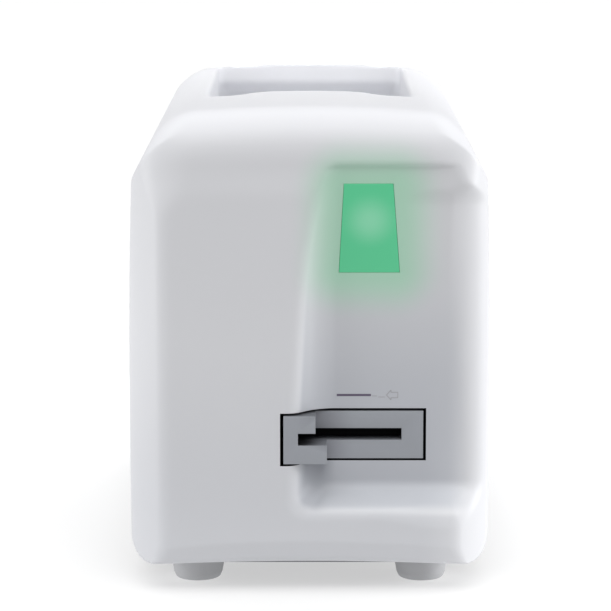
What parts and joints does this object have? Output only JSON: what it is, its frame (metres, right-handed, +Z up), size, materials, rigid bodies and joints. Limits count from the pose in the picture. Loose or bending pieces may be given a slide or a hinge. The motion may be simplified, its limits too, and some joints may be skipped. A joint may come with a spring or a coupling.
{
  "type": "phosphor plate scanner",
  "caption": "Desktop phosphor plate scanner: moulded hood with a scooped recess, plate slot and lit status window in front, a carry hollow on top and sockets at the back.",
  "frame": {"origin": "centre of the bounding box on the plane that the feet stand on", "axes": "+X to the right as seen from the front, +Y from the front with the plate slot to the back, +Z up"},
  "size_m": [0.198, 0.351, 0.264],
  "materials": {
    "shell_plastic": "fine satin moulding texture",
    "tray_plastic": "satin",
    "bezel_plastic": "satin",
    "window_lens": "translucent, lit from behind",
    "light_guide_acrylic": "clear moulded",
    "circuit_board": "solder mask",
    "foot_rubber": "matt",
    "screw_steel": "zinc plated",
    "ground_steel": "ground",
    "black_plastic": "satin",
    "spring_steel": "drawn wire",
    "zinc_plate": "passivated sheet",
    "machined_aluminium": "machined",
    "motor_black": "satin black laminations",
    "bronze": "turned",
    "white_acetal": "waxy",
    "black_anodised": "black anodised",
    "mirror_face": "polished mirror face",
    "optical_glass": "coated",
    "perforated_case": "folded sheet case",
    "panel_plastic": "satin",
    "nickel_pins": "nickel plated",
    "fuse_glass": "glass tube",
    "rocker_plastic": "polished",
    "chrome_wire": "plated wire"
  },
  "bodies": {
    "casing": {"hood": "shell_plastic", "base_tray": "tray_plastic", "slot_bezel": "bezel_plastic", "status_window": "window_lens", "light_guide": "light_guide_acrylic", "status_light_board": "circuit_board", "rubber_feet": "foot_rubber", "foot_screws": "screw_steel", "hood_screws": "screw_steel", "shutter_pin": "ground_steel", "shutter_spring": "spring_steel", "chassis_plate": "zinc_plate", "chassis_screws": "screw_steel", "front_bearing_block": "machined_aluminium", "rear_bearing_block": "machined_aluminium", "guide_rods": "ground_steel", "motor_bracket": "zinc_plate", "stepper_motor": "motor_black", "bench_posts": "machined_aluminium", "optical_bench": "black_anodised", "polygon_motor": "machined_aluminium", "laser_mount": "black_anodised", "laser_module": "bronze", "scan_lens": "optical_glass", "fold_mirror": "mirror_face", "mirror_bracket": "black_anodised", "light_collector": "light_guide_acrylic", "photomultiplier_housing": "black_anodised", "photomultiplier_tube": "optical_glass", "erase_lamp_housing": "black_plastic", "erase_lamp_lens": "light_guide_acrylic", "board_standoffs": "bronze", "main_board": "circuit_board", "power_supply": "perforated_case", "port_board": "circuit_board", "rear_panel": "panel_plastic", "rear_panel_screws": "screw_steel", "inlet_housing": "black_plastic", "inlet_pins": "nickel_pins", "rocker_frame": "black_plastic", "usb_port": "nickel_pins", "network_port": "nickel_pins", "fan_frame": "black_plastic", "fan_guard": "chrome_wire", "fan_screws": "screw_steel"},
    "carriage": {"plate_carriage": "black_plastic", "carriage_bushes": "bronze", "lead_nut": "white_acetal"},
    "screw": {"lead_screw": "ground_steel", "shaft_coupler": "machined_aluminium", "motor_shaft": "ground_steel"},
    "shutter": {"slot_shutter": "black_plastic"},
    "polygon": {"polygon_mirror": "mirror_face"},
    "rocker": {"power_rocker": "rocker_plastic"},
    "fan": {"fan_rotor": "black_plastic"},
    "drawer": {"fuse_drawer": "black_plastic", "fuses": "fuse_glass"}
  },
  "joints": [
    {"name": "carriage_slide", "type": "slide", "parent": "casing", "child": "carriage", "axis": [0, 1, 0], "range_m": [0, 0.11]},
    {"name": "lead_screw_spin", "type": "hinge", "parent": "casing", "child": "screw", "pos_m": [0.0219, 0, 0.062], "axis": [0, 1, 0], "range_deg": [-5000, 0]},
    {"name": "shutter_flap", "type": "hinge", "parent": "casing", "child": "shutter", "pos_m": [0.0219, -0.146, 0.094], "axis": [1, 0, 0], "range_deg": [0, 70], "stiffness_Nm_per_rad": 0.003, "springref_deg": -20.05},
    {"name": "polygon_spin", "type": "hinge", "parent": "casing", "child": "polygon", "pos_m": [0.0219, 0.034, 0.149], "axis": [0, 0, 1], "continuous": true},
    {"name": "power_rocker_tilt", "type": "hinge", "parent": "casing", "child": "rocker", "pos_m": [-0.052, 0.165, 0.145], "axis": [1, 0, 0], "range_deg": [0, 16]},
    {"name": "fan_spin", "type": "hinge", "parent": "casing", "child": "fan", "pos_m": [0.044, 0.159, 0.15], "axis": [0, 1, 0], "continuous": true},
    {"name": "fuse_drawer_slide", "type": "slide", "parent": "casing", "child": "drawer", "axis": [0, 1, 0], "range_m": [0, 0.018]}
  ],
  "couplings": [
    {"joint": "lead_screw_spin", "follows": "carriage_slide", "rad_per_m": -785.4}
  ]
}
